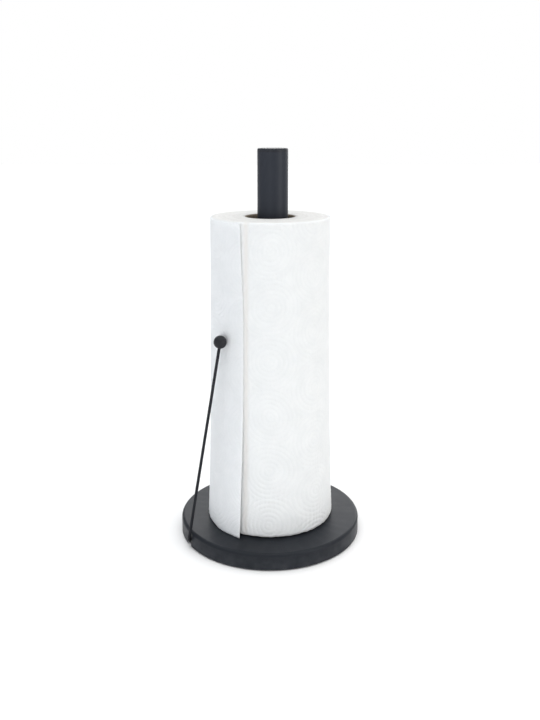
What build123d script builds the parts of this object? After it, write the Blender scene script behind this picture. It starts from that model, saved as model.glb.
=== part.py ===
from build123d import *
from math import degrees
import os

os.makedirs("parts", exist_ok=True)

# Free-standing kitchen roll holder: weighted round base, upright post, sprung wire arm and a roll on the post.
# Millimetres. The origin is on the table under the base's centre, +Z is up, and the arm stands on the -X, -Y side.

# base shell and what closes it
BASE_R = 77.5
BASE_TOP = 14.3
SKIRT_BOTTOM = 1.0
SHELL_T = 1.2
SHELL_EDGE_R = 2.5
COVER_R = 76.0
COVER_T = 1.6
COVER_TOP = SKIRT_BOTTOM + COVER_T
PAD_R = 7.0
PAD_T = 1.8
PAD_COUNT = 4
PAD_CIRCLE_R = 66.0
RECESS_DEPTH = PAD_T - SKIRT_BOTTOM
BALLAST_R = 70.0
BALLAST_T = 8.0
BALLAST_TOP = BASE_TOP - SHELL_T
BALLAST_BOTTOM = BALLAST_TOP - BALLAST_T
BALLAST_FLAT_X = -61.0
FIT_GAP = 0.05

# screws that hold the cover under the ballast
COVER_SCREW_R = 1.5
COVER_SCREW_HEAD_R = 2.8
COVER_SCREW_HEAD_T = 1.3
COVER_SCREW_TIP = 9.0
COVER_SCREW_COUNT = 3
COVER_SCREW_CIRCLE_R = 50.0
COVER_BOSS_R = 4.0
DRIVE_DEPTH = 0.8

# post, which stands a little off the base's centre
POST_X = 2.3
POST_R = 13.0
POST_WALL = 1.2
POST_BORE_R = POST_R - POST_WALL
POST_TOP = 333.5
CAP_T = 3.0
CAP_EDGE_R = 1.2
CAP_SPIGOT = 8.0
INSERT_T = 20.0
POST_SCREW_R = 3.0
POST_SCREW_HEAD_R = 5.25
POST_SCREW_HEAD_T = 3.4
POST_SCREW_TIP = 30.0
COUNTERBORE_R = 9.5
COUNTERBORE_DEPTH = 6.0
WASHER_R = 9.0
WASHER_T = 1.6
LOCK_WASHER_R = 5.4
LOCK_WASHER_T = 1.6
LOCK_WASHER_GAP = 0.8
HEX_KEY_R = 2.3
HEX_KEY_DEPTH = 2.0

# arm: one wire, bent at its foot into a level leg that turns in the bracket
ARM_Y = -42.4
HINGE_X = -68.2
HINGE_Z = 7.0
WIRE_R = 1.25
WIRE_BEND_R = 3.0
LEG_END_Y = 8.8
BALL_R = 5.4
BALL_X = -40.4
BALL_Z = 178.2
BALL_BORE_DEPTH = 8.0
NOTCH_R = 1.75

# pivot bracket on the ballast's flat side
PLATE_T = 2.0
BRACKET_BOTTOM = 3.0
BRACKET_TOP = 12.4
EAR_OUTER_X = -72.8
EAR_T = 4.0
FRONT_EAR_Y = -20.0
REAR_EAR_Y = 2.0
EAR_CORNER_R = 2.0
BUSH_R = 2.4
BUSH_BORE_R = WIRE_R + FIT_GAP
BUSH_FLANGE_R = 3.3
BUSH_FLANGE_T = 0.8
BRACKET_SCREW_R = 1.25
BRACKET_SCREW_HEAD_R = 2.2
BRACKET_SCREW_HEAD_T = 1.5
BRACKET_SCREW_LENGTH = 9.0
BRACKET_SCREW_Z = 9.1
BRACKET_SCREW_YS = (-12.5, -1.2)
COLLAR_R = 3.1
COLLAR_Y = -4.0
COLLAR_T = 4.0
CLIP_R = 2.6
CLIP_T = 0.7
CLIP_GAP = 1.6
SPRING_MEAN_R = 2.3
SPRING_WIRE_R = 0.35
SPRING_PITCH = 0.95
SPRING_TURNS = 10
SPRING_START_Y = -14.2
SPRING_TAIL = 2.6

# kitchen roll
CORE_BORE_R = 20.7
CORE_R = 21.6
CORE_TOP = 276.0
PAPER_BORE_R = CORE_R + FIT_GAP
PAPER_R = 52.4
PAPER_BOTTOM = BASE_TOP + 0.3
PAPER_TOP = 276.3
SHEET_GAP = 0.2
SHEET_T = 0.25
SHEET_FREE_EDGE_DEG = 245.5
SHEET_LENGTH = 225.0
SHEET_R = PAPER_R + SHEET_GAP
SHEET_HEIGHT = 261.0
SHEET_BOTTOM = PAPER_BOTTOM + 0.3
SHEET_ARC_DEG = degrees(SHEET_LENGTH / (SHEET_R + SHEET_T / 2))


def post_plane(z):
    """Level plane at height z, centred on the post's axis."""
    return Plane(origin=(POST_X, 0, z))


def bracket_screw_planes(x):
    """Planes at a distance x along the row's axis, one at each bracket screw, facing out of the bracket."""
    return [
        Plane(origin=(x, y, BRACKET_SCREW_Z), x_dir=(0, 1, 0), z_dir=(-1, 0, 0))
        for y in BRACKET_SCREW_YS
    ]


# base shell: pressed steel cap with a rounded rim
with BuildPart() as base_shell:
    with BuildSketch(Plane.XY.offset(SKIRT_BOTTOM)):
        Circle(BASE_R)
    extrude(amount=BASE_TOP - SKIRT_BOTTOM)
    fillet(base_shell.edges().sort_by(Axis.Z)[-1], SHELL_EDGE_R)
    with BuildSketch(Plane.XY.offset(SKIRT_BOTTOM)):
        Circle(BASE_R - SHELL_T)
    extrude(amount=BALLAST_TOP - SKIRT_BOTTOM, mode=Mode.SUBTRACT)
    # the post screw's hole
    with BuildSketch(post_plane(BALLAST_TOP)):
        Circle(POST_SCREW_R + FIT_GAP)
    extrude(amount=SHELL_T, mode=Mode.SUBTRACT)
    # round-topped notch in the skirt's lower edge for the arm's leg
    with BuildSketch(Plane.XZ.offset(-FRONT_EAR_Y)):
        with Locations((HINGE_X, HINGE_Z)):
            Circle(NOTCH_R)
        with Locations((HINGE_X, HINGE_Z / 2)):
            Rectangle(2 * NOTCH_R, HINGE_Z)
    extrude(amount=-ARM_Y + FRONT_EAR_Y, mode=Mode.SUBTRACT)
base_shell.part.label = "base_shell"
export_step(base_shell.part, "parts/base_shell.step")

# ballast: thick steel plate with one flat side for the pivot bracket
with BuildPart() as ballast:
    with BuildSketch(Plane.XY.offset(BALLAST_BOTTOM)):
        Circle(BALLAST_R)
        with Locations((BALLAST_FLAT_X - BALLAST_R / 2, 0)):
            Rectangle(BALLAST_R, 2 * BALLAST_R, mode=Mode.SUBTRACT)
    extrude(amount=BALLAST_T)
    chamfer(ballast.edges().group_by(Axis.Z)[0], 0.5)
    with BuildSketch(post_plane(BALLAST_BOTTOM)):
        Circle(COUNTERBORE_R)
    extrude(amount=COUNTERBORE_DEPTH, mode=Mode.SUBTRACT)
    with BuildSketch(post_plane(BALLAST_BOTTOM)):
        Circle(POST_SCREW_R + FIT_GAP)
    extrude(amount=BALLAST_T, mode=Mode.SUBTRACT)
    with BuildSketch(Plane.XY.offset(BALLAST_BOTTOM)):
        with PolarLocations(COVER_SCREW_CIRCLE_R, COVER_SCREW_COUNT):
            Circle(COVER_SCREW_R + FIT_GAP)
    extrude(amount=COVER_SCREW_TIP - BALLAST_BOTTOM, mode=Mode.SUBTRACT)
    with BuildSketch(*bracket_screw_planes(BALLAST_FLAT_X)):
        Circle(BRACKET_SCREW_R + FIT_GAP)
    extrude(amount=-BRACKET_SCREW_LENGTH + PLATE_T, mode=Mode.SUBTRACT)
ballast.part.label = "ballast"
export_step(ballast.part, "parts/ballast.step")

# bottom cover: moulded disc with spacers up to the ballast and recesses for the pads
with BuildPart() as bottom_cover:
    with BuildSketch(Plane.XY.offset(SKIRT_BOTTOM)):
        Circle(COVER_R)
    extrude(amount=COVER_T)
    fillet(bottom_cover.edges().group_by(Axis.Z)[0], 0.4)
    with BuildSketch(Plane.XY.offset(COVER_TOP)):
        with PolarLocations(COVER_SCREW_CIRCLE_R, COVER_SCREW_COUNT):
            Circle(COVER_BOSS_R)
    extrude(amount=BALLAST_BOTTOM - COVER_TOP)
    with BuildSketch(Plane.XY.offset(SKIRT_BOTTOM)):
        with PolarLocations(PAD_CIRCLE_R, PAD_COUNT):
            Circle(PAD_R + FIT_GAP)
    extrude(amount=RECESS_DEPTH, mode=Mode.SUBTRACT)
    with BuildSketch(Plane.XY.offset(SKIRT_BOTTOM)):
        with PolarLocations(COVER_SCREW_CIRCLE_R, COVER_SCREW_COUNT):
            Circle(COVER_SCREW_HEAD_R + FIT_GAP)
    extrude(amount=COVER_SCREW_HEAD_T, mode=Mode.SUBTRACT)
    with BuildSketch(Plane.XY.offset(SKIRT_BOTTOM)):
        with PolarLocations(COVER_SCREW_CIRCLE_R, COVER_SCREW_COUNT):
            Circle(COVER_SCREW_R + FIT_GAP)
    extrude(amount=BALLAST_BOTTOM - SKIRT_BOTTOM, mode=Mode.SUBTRACT)
bottom_cover.part.label = "bottom_cover"
export_step(bottom_cover.part, "parts/bottom_cover.step")

# cover screws: low heads sunk flush in the cover, with a cross recess
with BuildPart() as cover_screws:
    with BuildSketch(Plane.XY.offset(SKIRT_BOTTOM)):
        with PolarLocations(COVER_SCREW_CIRCLE_R, COVER_SCREW_COUNT):
            Circle(COVER_SCREW_HEAD_R)
    extrude(amount=COVER_SCREW_HEAD_T)
    with BuildSketch(Plane.XY.offset(SKIRT_BOTTOM)):
        with PolarLocations(COVER_SCREW_CIRCLE_R, COVER_SCREW_COUNT):
            Circle(COVER_SCREW_R)
    extrude(amount=COVER_SCREW_TIP - SKIRT_BOTTOM)
    with BuildSketch(Plane.XY.offset(SKIRT_BOTTOM)):
        with PolarLocations(COVER_SCREW_CIRCLE_R, COVER_SCREW_COUNT):
            Rectangle(2 * COVER_SCREW_R, COVER_SCREW_R / 3)
            Rectangle(COVER_SCREW_R / 3, 2 * COVER_SCREW_R)
    extrude(amount=DRIVE_DEPTH, mode=Mode.SUBTRACT)
cover_screws.part.label = "cover_screws"
export_step(cover_screws.part, "parts/cover_screws.step")

# foot pads: soft discs glued in the cover's recesses
with BuildPart() as foot_pads:
    with BuildSketch(Plane.XY):
        with PolarLocations(PAD_CIRCLE_R, PAD_COUNT):
            Circle(PAD_R)
    extrude(amount=PAD_T)
foot_pads.part.label = "foot_pads"
export_step(foot_pads.part, "parts/foot_pads.step")

# post: steel tube that stands on the shell
with BuildPart() as post_tube:
    with BuildSketch(post_plane(BASE_TOP)):
        Circle(POST_R)
        Circle(POST_BORE_R, mode=Mode.SUBTRACT)
    extrude(amount=POST_TOP - CAP_T - BASE_TOP)
post_tube.part.label = "post_tube"
export_step(post_tube.part, "parts/post_tube.step")

# cap: flush disc with a rounded edge and a spigot down into the tube
with BuildPart() as post_cap:
    with BuildSketch(post_plane(POST_TOP - CAP_T)):
        Circle(POST_R)
    extrude(amount=CAP_T)
    fillet(post_cap.edges().sort_by(Axis.Z)[-1], CAP_EDGE_R)
    with BuildSketch(post_plane(POST_TOP - CAP_T - CAP_SPIGOT)):
        Circle(POST_BORE_R - FIT_GAP)
    extrude(amount=CAP_SPIGOT)
post_cap.part.label = "post_cap"
export_step(post_cap.part, "parts/post_cap.step")

# insert: threaded plug fixed in the tube's foot
with BuildPart() as post_insert:
    with BuildSketch(post_plane(BASE_TOP)):
        Circle(POST_BORE_R - FIT_GAP)
        Circle(POST_SCREW_R + FIT_GAP, mode=Mode.SUBTRACT)
    extrude(amount=INSERT_T)
    chamfer(post_insert.edges().group_by(Axis.Z)[-1], 0.6)
post_insert.part.label = "post_insert"
export_step(post_insert.part, "parts/post_insert.step")

# flat washer in the ballast's counterbore
COUNTERBORE_TOP = BALLAST_BOTTOM + COUNTERBORE_DEPTH
WASHER_BOTTOM = COUNTERBORE_TOP - WASHER_T
with BuildPart() as post_washer:
    with BuildSketch(post_plane(WASHER_BOTTOM)):
        Circle(WASHER_R)
        Circle(POST_SCREW_R + FIT_GAP, mode=Mode.SUBTRACT)
    extrude(amount=WASHER_T)
post_washer.part.label = "post_washer"
export_step(post_washer.part, "parts/post_washer.step")

# split lock washer
LOCK_WASHER_BOTTOM = WASHER_BOTTOM - LOCK_WASHER_T
with BuildPart() as lock_washer:
    with BuildSketch(post_plane(LOCK_WASHER_BOTTOM)):
        Circle(LOCK_WASHER_R)
        Circle(POST_SCREW_R + FIT_GAP, mode=Mode.SUBTRACT)
        with Locations((LOCK_WASHER_R, 0)):
            Rectangle(2 * LOCK_WASHER_R, LOCK_WASHER_GAP, mode=Mode.SUBTRACT)
    extrude(amount=LOCK_WASHER_T)
lock_washer.part.label = "lock_washer"
export_step(lock_washer.part, "parts/lock_washer.step")

# post screw: low round head with a hexagon socket, up through the ballast and shell into the insert
HEAD_BOTTOM = LOCK_WASHER_BOTTOM - POST_SCREW_HEAD_T
with BuildPart() as post_screw:
    with BuildSketch(post_plane(HEAD_BOTTOM)):
        Circle(POST_SCREW_HEAD_R)
    extrude(amount=POST_SCREW_HEAD_T)
    fillet(post_screw.edges().sort_by(Axis.Z)[0], 1.0)
    with BuildSketch(post_plane(LOCK_WASHER_BOTTOM)):
        Circle(POST_SCREW_R)
    extrude(amount=POST_SCREW_TIP - LOCK_WASHER_BOTTOM)
    chamfer(post_screw.edges().sort_by(Axis.Z)[-1], 0.5)
    with BuildSketch(post_plane(HEAD_BOTTOM)):
        RegularPolygon(HEX_KEY_R, 6)
    extrude(amount=HEX_KEY_DEPTH, mode=Mode.SUBTRACT)
post_screw.part.label = "post_screw"
export_step(post_screw.part, "parts/post_screw.step")

# pivot bracket: plate on the ballast's flat side with two ears round the leg
with BuildPart() as pivot_bracket:
    with BuildSketch(Plane.XY.offset(BRACKET_BOTTOM)):
        with Locations((BALLAST_FLAT_X, FRONT_EAR_Y)):
            Rectangle(PLATE_T, REAR_EAR_Y + EAR_T - FRONT_EAR_Y, align=(Align.MAX, Align.MIN))
        with Locations((BALLAST_FLAT_X, FRONT_EAR_Y), (BALLAST_FLAT_X, REAR_EAR_Y)):
            Rectangle(BALLAST_FLAT_X - EAR_OUTER_X, EAR_T, align=(Align.MAX, Align.MIN))
    extrude(amount=BRACKET_TOP - BRACKET_BOTTOM)
    fillet(pivot_bracket.edges().filter_by(Axis.Y).group_by(Axis.X)[0], EAR_CORNER_R)
    with BuildSketch(Plane.XZ.offset(-REAR_EAR_Y - EAR_T)):
        with Locations((HINGE_X, HINGE_Z)):
            Circle(BUSH_R + FIT_GAP)
    extrude(amount=REAR_EAR_Y + EAR_T - FRONT_EAR_Y, mode=Mode.SUBTRACT)
    with BuildSketch(*bracket_screw_planes(BALLAST_FLAT_X)):
        Circle(BRACKET_SCREW_R + FIT_GAP)
    extrude(amount=PLATE_T, mode=Mode.SUBTRACT)
pivot_bracket.part.label = "pivot_bracket"
export_step(pivot_bracket.part, "parts/pivot_bracket.step")

# bracket screws: cheese heads with a slot
with BuildPart() as bracket_screws:
    with BuildSketch(*bracket_screw_planes(BALLAST_FLAT_X - PLATE_T)):
        Circle(BRACKET_SCREW_HEAD_R)
    extrude(amount=BRACKET_SCREW_HEAD_T)
    with BuildSketch(*bracket_screw_planes(BALLAST_FLAT_X - PLATE_T)):
        Circle(BRACKET_SCREW_R)
    extrude(amount=-BRACKET_SCREW_LENGTH)
    with BuildSketch(*bracket_screw_planes(BALLAST_FLAT_X - PLATE_T - BRACKET_SCREW_HEAD_T)):
        Rectangle(2 * BRACKET_SCREW_HEAD_R, 0.6)
    extrude(amount=-DRIVE_DEPTH, mode=Mode.SUBTRACT)
bracket_screws.part.label = "bracket_screws"
export_step(bracket_screws.part, "parts/bracket_screws.step")

# bushes: one flanged sleeve in each ear, flanges facing each other
FRONT_FLANGE_Y = FRONT_EAR_Y + EAR_T
with BuildPart() as pivot_bushes:
    for sleeve_y, flange_y in (
        (FRONT_EAR_Y, FRONT_FLANGE_Y),
        (REAR_EAR_Y, REAR_EAR_Y - BUSH_FLANGE_T),
    ):
        with BuildSketch(Plane.XZ.offset(-sleeve_y)):
            with Locations((HINGE_X, HINGE_Z)):
                Circle(BUSH_R)
        extrude(amount=-EAR_T)
        with BuildSketch(Plane.XZ.offset(-flange_y)):
            with Locations((HINGE_X, HINGE_Z)):
                Circle(BUSH_FLANGE_R)
        extrude(amount=-BUSH_FLANGE_T)
    with BuildSketch(Plane.XZ.offset(-FRONT_EAR_Y)):
        with Locations((HINGE_X, HINGE_Z)):
            Circle(BUSH_BORE_R)
    extrude(amount=-(REAR_EAR_Y + EAR_T - FRONT_EAR_Y), mode=Mode.SUBTRACT)
pivot_bushes.part.label = "pivot_bushes"
export_step(pivot_bushes.part, "parts/pivot_bushes.step")

# torsion spring: close coil round the leg, with a straight tail at each end
with BuildPart() as arm_spring:
    with BuildLine() as spring_line:
        coil = Helix(
            pitch=SPRING_PITCH,
            height=SPRING_PITCH * SPRING_TURNS,
            radius=SPRING_MEAN_R,
            center=(HINGE_X, SPRING_START_Y, HINGE_Z),
            direction=(0, 1, 0),
        )
        Line(coil @ 0, coil @ 0 - coil % 0 * SPRING_TAIL)
        Line(coil @ 1, coil @ 1 + coil % 1 * SPRING_TAIL)
    with BuildSketch(Plane(origin=coil @ 0 - coil % 0 * SPRING_TAIL, z_dir=coil % 0)):
        Circle(SPRING_WIRE_R)
    sweep(path=spring_line.wire(), is_frenet=True)
arm_spring.part.label = "arm_spring"
export_step(arm_spring.part, "parts/arm_spring.step")

# arm wire: upright lean towards the roll, one bend, then the level leg along +Y
with BuildPart() as arm_rod:
    with BuildLine() as wire_line:
        FilletPolyline(
            (BALL_X, ARM_Y, BALL_Z),
            (HINGE_X, ARM_Y, HINGE_Z),
            (HINGE_X, LEG_END_Y, HINGE_Z),
            radius=WIRE_BEND_R,
        )
    with BuildSketch(Plane(origin=wire_line.wire() @ 0, z_dir=wire_line.wire() % 0)):
        Circle(WIRE_R)
    sweep(path=wire_line.wire())
arm_rod.part.label = "arm_rod"
export_step(arm_rod.part, "parts/arm_rod.step")

# ball on the wire's top end, with the wire's blind hole
ARM_DIRECTION = Vector(HINGE_X - BALL_X, 0, HINGE_Z - BALL_Z).normalized()
with BuildPart() as arm_ball:
    with Locations((BALL_X, ARM_Y, BALL_Z)):
        Sphere(BALL_R)
    with BuildSketch(Plane(origin=(BALL_X, ARM_Y, BALL_Z), z_dir=ARM_DIRECTION)):
        Circle(WIRE_R + FIT_GAP)
    extrude(amount=BALL_BORE_DEPTH, mode=Mode.SUBTRACT)
arm_ball.part.label = "arm_ball"
export_step(arm_ball.part, "parts/arm_ball.step")

# collar fixed on the leg, which the spring turns
with BuildPart() as arm_collar:
    with BuildSketch(Plane.XZ.offset(-COLLAR_Y)):
        with Locations((HINGE_X, HINGE_Z)):
            Circle(COLLAR_R)
            Circle(WIRE_R + FIT_GAP, mode=Mode.SUBTRACT)
    extrude(amount=-COLLAR_T)
    chamfer(arm_collar.edges().filter_by(GeomType.CIRCLE).sort_by(SortBy.RADIUS)[-2:], 0.3)
arm_collar.part.label = "arm_collar"
export_step(arm_collar.part, "parts/arm_collar.step")

# push-on clip behind the rear ear, which keeps the leg in its bushes
CLIP_Y = REAR_EAR_Y + EAR_T + 0.3
with BuildPart() as axle_clip:
    with BuildSketch(Plane.XZ.offset(-CLIP_Y)):
        with Locations((HINGE_X, HINGE_Z)):
            Circle(CLIP_R)
            Circle(WIRE_R + FIT_GAP, mode=Mode.SUBTRACT)
        with Locations((HINGE_X, HINGE_Z + CLIP_R)):
            Rectangle(CLIP_GAP, 2 * CLIP_R, mode=Mode.SUBTRACT)
    extrude(amount=-CLIP_T)
axle_clip.part.label = "axle_clip"
export_step(axle_clip.part, "parts/axle_clip.step")

# cardboard core that drops over the post
with BuildPart() as roll_core:
    with BuildSketch(Plane.XY.offset(BASE_TOP)):
        Circle(CORE_R)
        Circle(CORE_BORE_R, mode=Mode.SUBTRACT)
    extrude(amount=CORE_TOP - BASE_TOP)
roll_core.part.label = "roll_core"
export_step(roll_core.part, "parts/roll_core.step")

# wound paper round the core
with BuildPart() as paper_roll:
    with BuildSketch(Plane.XY.offset(PAPER_BOTTOM)):
        Circle(PAPER_R)
        Circle(PAPER_BORE_R, mode=Mode.SUBTRACT)
    extrude(amount=PAPER_TOP - PAPER_BOTTOM)
paper_roll.part.label = "paper_roll"
export_step(paper_roll.part, "parts/paper_roll.step")

# last sheet of the roll: its free edge stands at the front left, and it runs clockwise round the roll
with BuildPart() as loose_sheet:
    with BuildSketch(Plane.XZ) as sheet_section:
        with Locations((SHEET_R, SHEET_BOTTOM)):
            Rectangle(SHEET_T, SHEET_HEIGHT, align=(Align.MIN, Align.MIN))
    revolve(sheet_section.sketch.rotate(Axis.Z, SHEET_FREE_EDGE_DEG), Axis.Z, -SHEET_ARC_DEG)
loose_sheet.part.label = "loose_sheet"
export_step(loose_sheet.part, "parts/loose_sheet.step")
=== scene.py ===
import bpy
import math
import numpy as np
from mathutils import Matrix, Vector


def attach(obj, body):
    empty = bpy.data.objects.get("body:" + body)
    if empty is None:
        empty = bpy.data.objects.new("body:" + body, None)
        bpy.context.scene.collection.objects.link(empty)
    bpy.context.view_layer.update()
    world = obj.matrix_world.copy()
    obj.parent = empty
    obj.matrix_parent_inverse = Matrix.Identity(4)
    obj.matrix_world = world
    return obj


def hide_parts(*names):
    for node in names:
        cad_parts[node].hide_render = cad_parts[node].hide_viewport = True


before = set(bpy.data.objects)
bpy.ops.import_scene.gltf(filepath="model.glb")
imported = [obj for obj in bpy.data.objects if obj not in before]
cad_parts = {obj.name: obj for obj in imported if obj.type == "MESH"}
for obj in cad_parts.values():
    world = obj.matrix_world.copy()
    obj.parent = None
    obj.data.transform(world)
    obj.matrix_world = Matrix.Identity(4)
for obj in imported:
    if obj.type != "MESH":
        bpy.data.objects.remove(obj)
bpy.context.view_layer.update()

mm = 0.001
print("frame loaded:", len(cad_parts), "nodes")

# camera and studio light

studio = {
    "cameraPlace": (0.0, -0.6958, 0.3563),
    "cameraDown": 7.56,  # degrees below level
    "lens": 41.39,
    "shiftY": -0.18,
    "floorHalf": 6.0,
    "floorTone": 0.90,
    "skyLeft": (0.36, 0.385, 0.41),
    "skyRight": (0.62, 0.61, 0.60),
    "overheadStrength": 2.4,
    "overheadSpread": 80.0,  # degrees
}
studioLamps = {  # place, aimed at, width, height, watts, colour
    "softRight": ((1.1, -0.85, 0.22), (0.0, 0.0, 0.12), 0.9, 0.7, 3.0, (1.0, 0.98, 0.955)),
    "softLeft": ((-1.1, -0.75, 0.22), (0.0, 0.0, 0.12), 0.9, 0.7, 1.5, (0.95, 0.975, 1.0)),
    "softFront": ((-0.5, -1.3, 0.22), (0.0, 0.0, 0.12), 0.25, 0.25, 2.2, (0.97, 0.985, 1.0)),
    "softBack": ((0.8, 1.3, 0.5), (0.0, 0.0, 0.14), 0.8, 0.8, 2.5, (1.0, 1.0, 1.0)),
    "backCard": ((0.3, 1.6, 0.85), (0.0, 0.0, 0.1), 2.4, 1.2, 20.0, (1.0, 1.0, 1.0)),
    "stripCard": ((1.0, -0.62, 0.35), (0.0, 0.0, 0.2), 0.22, 1.0, 6.0, (1.0, 1.0, 1.0)),
}


def aimAt(thing, place, target):
    thing.location = place
    thing.rotation_euler = (Vector(target) - Vector(place)).to_track_quat("-Z", "Y").to_euler()


camera = bpy.data.objects.new("studioCamera", bpy.data.cameras.new("studioCamera"))
bpy.context.scene.collection.objects.link(camera)
camera.location = studio["cameraPlace"]
camera.rotation_euler = (math.radians(90 - studio["cameraDown"]), 0, 0)
camera.data.lens = studio["lens"]
camera.data.shift_y = studio["shiftY"]
bpy.context.scene.camera = camera

for lampName, (place, target, width, height, watts, tint) in studioLamps.items():
    lampData = bpy.data.lights.new(lampName, "AREA")
    lampData.shape = "RECTANGLE"
    lampData.size, lampData.size_y = width, height
    lampData.energy = watts
    lampData.color = tint
    lamp = bpy.data.objects.new(lampName, lampData)
    bpy.context.scene.collection.objects.link(lamp)
    aimAt(lamp, place, target)
    lamp.visible_camera = False
    lamp.visible_diffuse = not lampName.endswith("Card")  # cards only show in reflections

overheadData = bpy.data.lights.new("overhead", "SUN")
overheadData.energy = studio["overheadStrength"]
overheadData.angle = math.radians(studio["overheadSpread"])
overhead = bpy.data.objects.new("overhead", overheadData)
bpy.context.scene.collection.objects.link(overhead)

sky = bpy.data.worlds.new("studioSky")
sky.use_nodes = True
skyTree = sky.node_tree
skyParts = skyTree.nodes.new("ShaderNodeSeparateXYZ")
skyTree.links.new(skyTree.nodes.new("ShaderNodeTexCoord").outputs["Generated"], skyParts.inputs[0])
skySide = skyTree.nodes.new("ShaderNodeMapRange")
skySide.inputs["From Min"].default_value = -1.0
skyTree.links.new(skyParts.outputs["X"], skySide.inputs["Value"])
skyLight, skySeen = skyTree.nodes.new("ShaderNodeMix"), skyTree.nodes.new("ShaderNodeMix")
skyTones = ((skyLight, studio["skyLeft"], studio["skyRight"]), (skySeen, (1, 1, 1), (1, 1, 1)))
for skyMix, near, far in skyTones:
    skyMix.data_type = "RGBA"
    skyMix.inputs[6].default_value, skyMix.inputs[7].default_value = (*near, 1.0), (*far, 1.0)
skyTree.links.new(skySide.outputs["Result"], skyLight.inputs[0])
skyTree.links.new(skyTree.nodes.new("ShaderNodeLightPath").outputs["Is Camera Ray"], skySeen.inputs[0])
skyTree.links.new(skyLight.outputs[2], skySeen.inputs[6])  # the camera sees plain white behind
skyTree.links.new(skySeen.outputs[2], skyTree.nodes["Background"].inputs["Color"])
bpy.context.scene.world = sky
bpy.context.scene.view_settings.view_transform = "Standard"
print("studio ready")

# mesh helpers


def makeMesh(name, points, faces):
    mesh = bpy.data.meshes.new(name)
    mesh.from_pydata(points.tolist(), [], faces.tolist() if hasattr(faces, "tolist") else faces)
    mesh.validate()
    mesh.polygons.foreach_set("use_smooth", [True] * len(mesh.polygons))
    mesh.update()
    made = bpy.data.objects.new(name, mesh)
    bpy.context.scene.collection.objects.link(made)
    return made


def gridFaces(rows, columns, closed, start=0, flip=False):
    # quads of a grid whose points run along columns first; closed joins the last column to the first
    row = np.arange(rows - 1)[:, None] * columns
    column = np.arange(columns if closed else columns - 1)[None, :]
    beside = (column + 1) % columns
    corners = [row + column, row + beside, row + columns + beside, row + columns + column]
    quads = np.stack([c.ravel() for c in corners], axis=1) + start
    return quads[:, ::-1] if flip else quads


def smoothStep(value, low, high):
    t = np.clip((value - low) / (high - low), 0.0, 1.0)
    return t * t * (3.0 - 2.0 * t)


def addWaves(waves, across, up):
    return sum(size * np.sin(kAcross * across + kUp * up + phase) for kAcross, kUp, phase, size in waves)


# embossing: staggered cells of concentric rings, with the same numbers for the meshes and the shader

emboss = {
    "columns": 8,  # cells round the roll
    "rowPitch": 45.4,  # mm up the roll
    "ringPitch": 3.8,
    "rollRadius": 52.6,
    "rise": 26.5,  # mm that the cells are moved up
    "depth": 0.16,
    "overlap": 0.9,  # share of the neighbouring cell's rings that runs on through
    "dashes": 2.6,  # mm of ring to each dash
    "stretch": 1.7,  # mm that the damp paper has crept, as slow waves round and up the roll
    "slantTurns": 4.0,
    "slantPitch": 31.0,
    "driftPitch": 47.0,
    "driftPhase": 0.7,
    "swayTurns": 3.0,
    "swayPhase": 1.3,
    "sagPitch": 37.0,
    "dome": 0.14,
    "footDepth": 1.0,  # how much deeper the rings are near the foot, where they are less rubbed
}
emboss["columnPitch"] = 2 * math.pi * emboss["rollRadius"] / emboss["columns"]


def ringDistances(across, up):
    # distance in mm to the nearest cell centre of each of the two staggered sets, and the turn about it
    wide, tall = emboss["columnPitch"], emboss["rowPitch"]
    found = []
    for shiftAcross, shiftUp in ((0.0, 0.0), (wide, tall / 2)):
        a = np.mod(across + shiftAcross + wide, 2 * wide) - wide
        u = np.mod(up - emboss["rise"] + shiftUp + tall / 2, tall) - tall / 2
        found.append((np.hypot(a, u), np.arctan2(u, a)))
    (distA, turnA), (distB, turnB) = found
    first = distA < distB
    return (
        np.minimum(distA, distB),
        np.maximum(distA, distB),
        np.where(first, turnA, turnB),
        np.where(first, turnB, turnA),
    )


def ringWave(distance, turn, pitch):
    # rings broken into dashes of about one length at every radius
    ring = np.round(distance / pitch)
    count = np.maximum(np.round(2 * math.pi * ring * pitch / emboss["dashes"] / 6), 0) * 6
    rings = 0.5 + 0.5 * np.cos(distance * 2 * math.pi / pitch)
    return rings * (0.72 + 0.28 * np.cos(count * turn + ring * 2.4))


def embossHeight(across, up, pitch=emboss["ringPitch"]):
    turn = across / emboss["rollRadius"]
    foot = smoothStep(-up, -110.0, -15.0)
    slant = np.sin(emboss["slantTurns"] * turn + up / emboss["slantPitch"])
    drift = np.sin(up / emboss["driftPitch"] + emboss["driftPhase"])
    sway = np.sin(emboss["swayTurns"] * turn + emboss["swayPhase"])
    crept = across + emboss["stretch"] * slant * drift
    risen = up + emboss["stretch"] * sway * np.cos(up / emboss["sagPitch"])
    near, far, nearTurn, farTurn = ringDistances(crept, risen)
    dome = 1.0 - smoothStep(near, 0.0, 0.6 * emboss["rowPitch"])
    deeper = 1.0 + emboss["footDepth"] * foot
    running = emboss["overlap"] * ringWave(far, farTurn, pitch) * smoothStep(near, 5.0, 20.0)
    pressed = ringWave(near, nearTurn, pitch) + running
    return emboss["dome"] * (dome - 0.5) - emboss["depth"] * deeper * pressed


# wound paper roll

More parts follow.
